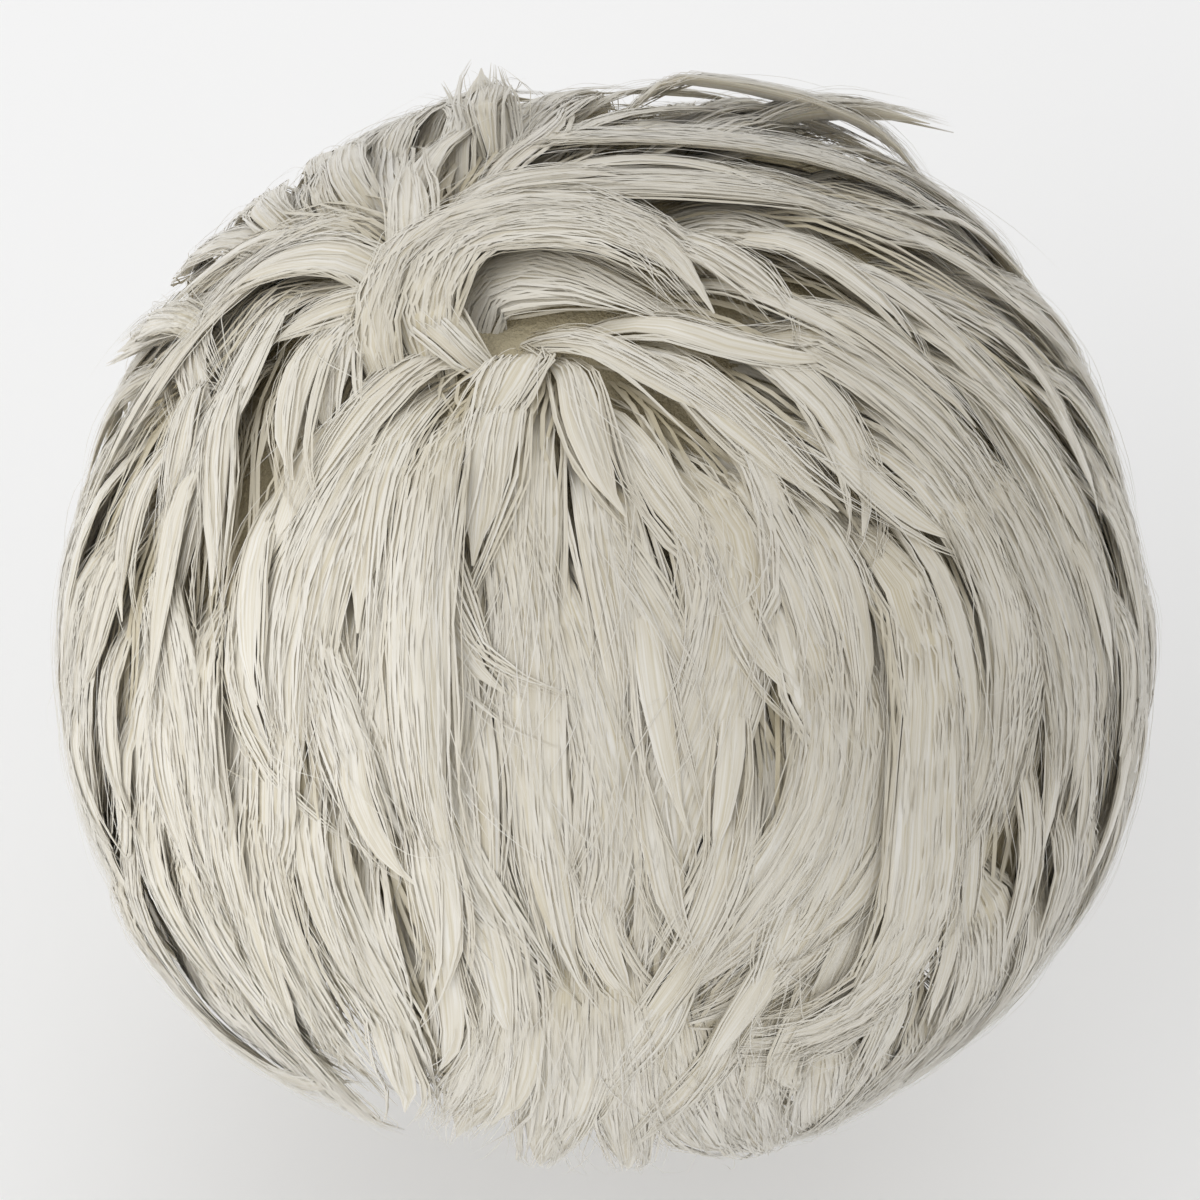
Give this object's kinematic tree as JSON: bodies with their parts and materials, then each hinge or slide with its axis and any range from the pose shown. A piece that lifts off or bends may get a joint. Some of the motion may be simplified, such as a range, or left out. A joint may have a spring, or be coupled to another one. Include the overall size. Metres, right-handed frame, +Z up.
{
  "type": "short curly wig",
  "caption": "Short, full wig of layered curly locks in pale platinum hair on a thin rounded cap, open below for the head.",
  "frame": {"origin": "inside of the crown of the cap, where it rests on top of the head", "axes": "+Z up, -Y towards the face and +X towards the wearer's left"},
  "size_m": [0.2631, 0.267, 0.2505],
  "materials": {
    "cap": "soft elastic net in pale beige with rows of sewn wefts",
    "hair": "fine silky platinum fibre with a soft sheen, khaki in the depths"
  },
  "bodies": {
    "root": {"cap": "cap", "crown_hair": "hair", "fringe_hair": "hair", "left_hair": "hair", "right_hair": "hair", "upper_back_hair": "hair", "back_hair": "hair", "nape_hair": "hair"}
  },
  "joints": []
}
